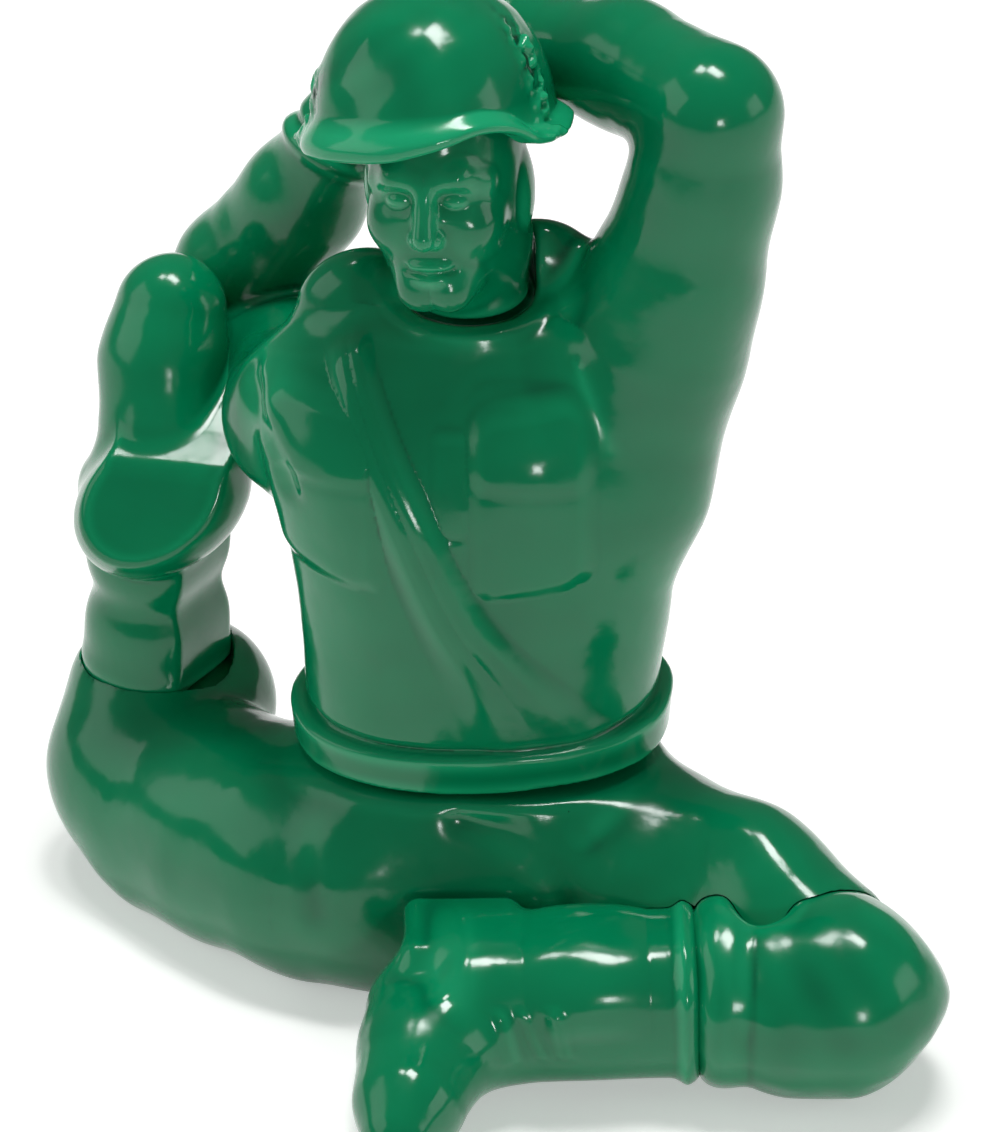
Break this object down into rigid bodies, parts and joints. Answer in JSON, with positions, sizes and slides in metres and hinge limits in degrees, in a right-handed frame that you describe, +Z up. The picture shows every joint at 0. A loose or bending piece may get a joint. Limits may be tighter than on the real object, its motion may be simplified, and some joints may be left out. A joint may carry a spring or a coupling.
{
  "type": "toy soldier figure",
  "caption": "Seated toy soldier in moulded green plastic, hands behind the helmet, front leg folded and back boot raised to the elbow; waist and head turn on pegs.",
  "frame": {"origin": "on the floor under the middle of the waist peg", "axes": "+Z up, the chest faces -Y, the figure's left is +X"},
  "size_m": [0.0546, 0.0527, 0.0632],
  "materials": {
    "green_plastic": "gloss"
  },
  "bodies": {
    "hips_and_legs": {"pelvis": "green_plastic", "left_thigh": "green_plastic", "left_shin": "green_plastic", "left_boot": "green_plastic", "right_leg": "green_plastic", "right_boot": "green_plastic"},
    "upper_body": {"torso": "green_plastic", "left_arm": "green_plastic", "right_arm": "green_plastic"},
    "head_and_helmet": {"head": "green_plastic", "helmet": "green_plastic"}
  },
  "joints": [
    {"name": "waist_turn", "type": "hinge", "parent": "hips_and_legs", "child": "upper_body", "pos_m": [0, 0, 0.0145], "axis": [0, 0, 1], "range_deg": [-25, 0]},
    {"name": "head_turn", "type": "hinge", "parent": "upper_body", "child": "head_and_helmet", "pos_m": [-0.00075, 0.00296, 0.0431], "axis": [0, 0, 1], "range_deg": [-6, 20]}
  ]
}
